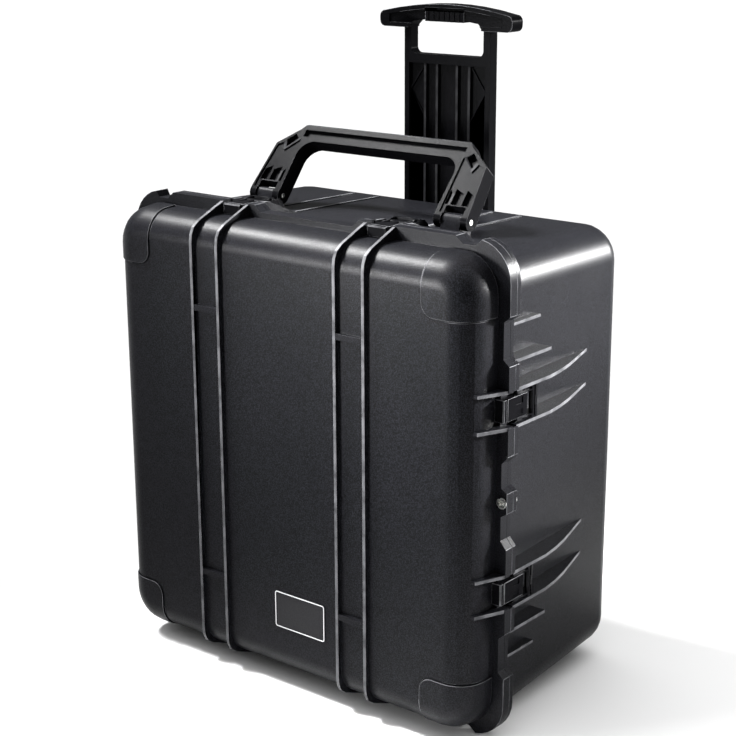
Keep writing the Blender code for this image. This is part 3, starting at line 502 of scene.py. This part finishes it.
def shape_carry_handle(handle):
    """Lengthwise channel, sunk leg fields with slots, and a framed pocket at each shoulder."""
    place = CASE @ Matrix.Translation((0, *HANDLE_PIVOT)) @ Matrix.Rotation(-HANDLE_TILT, 4, "X")

    def sunk(face, depth):
        return sorted((face * HANDLE_CUT_FROM, face * (HANDLE_FACE - depth)))

    def pushed(outline, side, depths):
        return prism(on_leg(outline, side), "Y", *depths, place)

    sides = [(face, side) for face in (-1, 1) for side in (-1, 1)]
    cuts = []
    for face in (-1, 1):
        xs = (-CHANNEL_HALF, CHANNEL_HALF)
        cuts.append(block(xs, sunk(face, CHANNEL_DEPTH), CHANNEL_SPAN, place))
        for side in (-1, 1):
            cuts.append(pushed(LEG_FIELD, side, sunk(face, FIELD_DEPTH)))
            cuts += [pushed(slot, side, sunk(face, SLOT_DEPTH)) for slot in LEG_SLOTS]
    combine(handle, cuts, "DIFFERENCE")
    for face, side in sides:
        depths = sorted(face * (HANDLE_FACE - depth) for depth in SHOULDER_FRAME_DEPTHS)
        combine(handle, [pushed(SHOULDER_FRAME, side, depths)], "UNION")
        combine(handle, [pushed(SHOULDER_POCKET, side, sunk(face, POCKET_DEPTH))], "DIFFERENCE")
    for side in (-1, 1):
        combine(handle, [pushed(SHOULDER_NOTCH, side, (-NOTCH_HALF, NOTCH_HALF))], "DIFFERENCE")


# ---------------------------------------------------------------- trolley handle


def bar_between(start, end, width, depths):
    """A straight rib between two (x, height) points."""
    along = (Vector(end) - Vector(start)).normalized()
    across = Vector((-along.y, along.x)) * width / 2
    corners = [Vector(start) - across, Vector(end) - across, Vector(end) + across]
    corners.append(Vector(start) + across)
    return prism([tuple(c) for c in corners], "Y", *depths)


def grip_recess(depths):
    """A long recess along the grip's face that follows its arch."""
    crown = [GRIP_RECESS_HALF * (1 - 2 * i / 10) for i in range(11)]
    outline = [(x, GRIP_TOP - GRIP_RECESS_RIM - x * x / (2 * GRIP_ARC)) for x in crown]
    corners = [(-GRIP_RECESS_HALF, GRIP_RECESS_LOW), (GRIP_RECESS_HALF, GRIP_RECESS_LOW)]
    return prism(corners + outline, "Y", *depths)


def shape_trolley(handle):
    """Sunk panels with upright ribs and zig-zag bracing, and a recess along the grip."""
    xs, heights = (-PANEL_HALF, PANEL_HALF), (PANEL_BOTTOM, PANEL_TOP)
    front = (PLATE_FRONT - 0.001, PLATE_FRONT + PANEL_DEPTH)
    combine(handle, [block(xs, front, heights)], "DIFFERENCE")
    root = PLATE_FRONT + RIB_ROOT
    upright_heights = (PANEL_BOTTOM - RIB_OVERLAP, PANEL_TOP + RIB_OVERLAP)
    ribs = []
    for x in UPRIGHT_X:
        for side in (-1, 1):
            rib = (side * x - UPRIGHT_HALF, side * x + UPRIGHT_HALF)
            ribs.append(block(rib, (PLATE_FRONT + UPRIGHT_SUNK, root), upright_heights))
    pitch = (PANEL_TOP - PANEL_BOTTOM) / BRACE_STEPS
    for side in (-1, 1):
        inner, outer = side * BRACE_X[0], side * BRACE_X[1]
        for i in range(BRACE_STEPS):
            low, high = PANEL_BOTTOM + i * pitch, PANEL_BOTTOM + (i + 1) * pitch
            ends = [(outer, low), (inner, high)] if i % 2 else [(inner, low), (outer, high)]
            ribs.append(bar_between(*ends, BRACE_WIDTH, (PLATE_FRONT + BRACE_SUNK, root)))
    combine(handle, ribs, "UNION")
    recess = grip_recess((GRIP_FRONT - 0.001, GRIP_FRONT + GRIP_RECESS_DEPTH))
    combine(handle, [recess], "DIFFERENCE")
    back = (PLATE_BACK - BACK_PANEL_DEPTH, PLATE_BACK + 0.001)
    combine(handle, [block(xs, back, heights)], "DIFFERENCE")


def shape_trigger(trigger):
    """Finger grooves across the trigger's face."""
    grooves = []
    for i in TRIGGER_GROOVES:
        x = i * TRIGGER_PITCH
        grooves.append(block((x - TRIGGER_HALF, x + TRIGGER_HALF), TRIGGER_DEPTHS, TRIGGER_HEIGHTS))
    combine(trigger, grooves, "DIFFERENCE")


# ---------------------------------------------------------------- latches


def latch_frames():
    """(name, matrix from the latch's own frame to the world) of the six latches."""
    frames = []
    for side, turn, half, along in (
        ("top", 0, FLANGE_HALF_H, LATCH_ALONG_TOP),
        ("bottom", 180, FLANGE_HALF_H, -LATCH_ALONG_TOP),
        ("side", 90, FLANGE_HALF_W, LATCH_ALONG_SIDE),
    ):
        labels = ("upper", "lower") if side == "side" else ("left", "right")
        for label, sign in zip(labels, (-1, 1)):
            flat = Matrix.Rotation(math.radians(turn), 4, "Y") @ Matrix.Translation((0, 0, half))
            place = CASE @ flat @ Matrix.Translation((sign * along, 0, 0))
            frames.append((f"{side}_{label}", place))
    return frames


def latch_cut(slot, place, side=0):
    """A block sunk into a latch from above; a side of -1 or 1 puts it left or right of centre."""
    along, across, bottom = slot
    if side:
        along = sorted((side * along[0], side * along[1]))
    return block(along, across, (bottom, LATCH_CUT_TOP), place)


def shape_lever(lever, place):
    """Sunk slots in the lever's back and sides."""
    cuts = []
    for side in (-1, 1):
        cuts += [latch_cut(slot, place, side) for slot in (LEVER_END_SLOT, LEVER_SIDE_SLOT)]
    cuts.append(latch_cut(LEVER_MIDDLE_SLOT, place))
    combine(lever, cuts, "DIFFERENCE")


def shape_hook(hook, place):
    """Two sunk fields with a tongue left between them."""
    combine(hook, [latch_cut(HOOK_FIELD, place, side) for side in (-1, 1)], "DIFFERENCE")


# ---------------------------------------------------------------- nameplate, wheels, screws


def shape_plate(plate):
    x, z = NAME_CENTRE
    half_w, half_h = NAME_HALF[0] - NAME_RIM, NAME_HALF[1] - NAME_RIM
    sunk = rounded_rectangle(x - half_w, x + half_w, z - half_h, z + half_h, 0.0025, 3)
    combine(plate, [prism(sunk, "Y", NAME_FACE - 0.001, NAME_FACE + NAME_SUNK)], "DIFFERENCE")


def plate_border():
    """A thin pale line round the blank plate."""
    x, z = NAME_CENTRE
    rings = []
    for inset in BORDER_INSETS:
        w, h = NAME_HALF[0] - inset, NAME_HALF[1] - inset
        rings.append(rounded_rectangle(x - w, x + w, z - h, z + h, 0.004 - inset, 3))
    border = prism(rings[0], "Y", *(NAME_FACE - proud for proud in BORDER_PROUD))
    window = prism(rings[1], "Y", NAME_FACE - 0.01, NAME_FACE + 0.01)
    combine(border, [window], "DIFFERENCE")
    border.name = "name_plate_border"
    border.data.materials.append(PLATE_LINE)
    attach(border, "lid")


def shape_hub(hub, side):
    """Round pockets between the hub's spokes."""
    pockets = []
    for i in range(HUB_POCKETS):
        a = 2 * math.pi * (i + 0.5) / HUB_POCKETS
        centre = (AXLE[0] + POCKET_CIRCLE * math.cos(a), AXLE[1] + POCKET_CIRCLE * math.sin(a))
        outline = arc(centre, POCKET_RADIUS, 0, 330, 11)
        low = side * WHEEL_X - HUB_HALF
        pockets.append(prism(outline, "X", low, low + 2 * HUB_HALF))
    combine(hub, pockets, "DIFFERENCE")


SHAPES = {
    "lid_shell": shape_lid,
    "carry_handle": shape_carry_handle,
    "trolley_handle": shape_trolley,
    "release_trigger": shape_trigger,
    "name_plate": shape_plate,
    "wheel_hub_left": lambda hub: shape_hub(hub, -1),
    "wheel_hub_right": lambda hub: shape_hub(hub, 1),
}
for latch, matrix in latch_frames():
    SHAPES[f"latch_lever_{latch}"] = lambda piece, m=matrix: shape_lever(piece, m)
    SHAPES[f"latch_hook_{latch}"] = lambda piece, m=matrix: shape_hook(piece, m)

for node, obj in sorted(frame["nodes"].items()):
    slot = NODE_SLOT[node]
    if slot in EDGE or node in SHAPES:
        piece = form(node)
        if node in SHAPES:
            SHAPES[node](piece)
        if slot == "shell_black":
            soften(piece, EDGE[slot], CREST_WEAR_AND_HIGHLIGHT, *SHELL_ANGLES)
        else:
            soften(piece, EDGE.get(slot, FINE_EDGE))
        stand_for(piece, node)
    else:
        for holder in obj.material_slots:
            holder.material = MATERIALS[slot]
plate_border()

# ---------------------------------------------------------------- camera, light and floor


def look(position, forward, roll):
    """Camera matrix from a viewing direction and a roll about it."""
    forward = forward.normalized()
    right = forward.cross(Vector((0, 0, 1))).normalized()
    up = right.cross(forward)
    matrix = Matrix((right, up, -forward)).transposed().to_4x4()
    return Matrix.Translation(position) @ matrix @ Matrix.Rotation(roll, 4, "Z")


level = math.cos(PITCH)
forward = Vector((math.sin(YAW) * level, math.cos(YAW) * level, -math.sin(PITCH)))
camera = bpy.data.objects.new("camera", bpy.data.cameras.new("camera"))
camera.data.lens = LENS
camera.data.sensor_width = SENSOR
camera.data.clip_end = 60
camera.matrix_world = look(CAMERA_AT, forward, ROLL)
bpy.context.scene.collection.objects.link(camera)
bpy.context.scene.camera = camera


def softbox(name, position, target, size, power, spread=180):
    """An area light aimed at a point; spread narrows its beam as a grid on a softbox does."""
    data = bpy.data.lights.new(name, "AREA")
    data.shape = "RECTANGLE"
    data.size, data.size_y = size
    data.energy = power
    data.spread = math.radians(spread)
    light = bpy.data.objects.new(name, data)
    direction = Vector(target) - Vector(position)
    light.matrix_world = look(Vector(position), direction, 0)
    bpy.context.scene.collection.objects.link(light)


softbox("right_rear", (1.75, 1.95, 1.22), (0.33, 0.08, 0.61), (0.6, 0.35), 14, 19)
softbox("front_left", (-1.0, -1.9, 0.80), (0.30, -0.2, 0.64), (0.4, 0.4), 6.5, 30)
softbox("upper_left", (-1.5, -0.55, 2.70), (0.0, -0.16, 0.70), (0.9, 0.5), 22, 30)


def studio_sky():
    """A plain studio: bright straight above, dim towards the horizon."""
    world = bpy.data.worlds.new("studio")
    world.use_nodes = True
    tree = world.node_tree
    coords = tree.nodes.new("ShaderNodeTexCoord").outputs["Generated"]
    split = tree.nodes.new("ShaderNodeSeparateXYZ")
    tree.links.new(coords, split.inputs[0])
    rise = tree.nodes.new("ShaderNodeMath")
    rise.operation = "POWER"
    rise.use_clamp = True
    tree.links.new(split.outputs["Z"], rise.inputs[0])
    rise.inputs[1].default_value = SKY_FALLOFF
    strength = remap(tree, rise.outputs[0], 0.0, 1.0, SKY_HORIZON, SKY_ZENITH)
    background = tree.nodes["Background"]
    background.inputs["Color"].default_value = (1, 1, 1, 1)
    tree.links.new(strength, background.inputs["Strength"])
    bpy.context.scene.world = world


studio_sky()
bpy.context.scene.view_settings.view_transform = "Standard"

signs = ((-1, -1), (1, -1), (1, 1), (-1, 1))
floor_mesh = bpy.data.meshes.new("floor")
floor_mesh.from_pydata([(x * FLOOR_HALF, y * FLOOR_HALF, 0) for x, y in signs], [], [(0, 1, 2, 3)])
floor = bpy.data.objects.new("floor", floor_mesh)
paper, _ = shader_material("floor_paper", (0.90, 0.90, 0.90), 0.9, specular=0.1)
floor.data.materials.append(paper)
bpy.context.scene.collection.objects.link(floor)
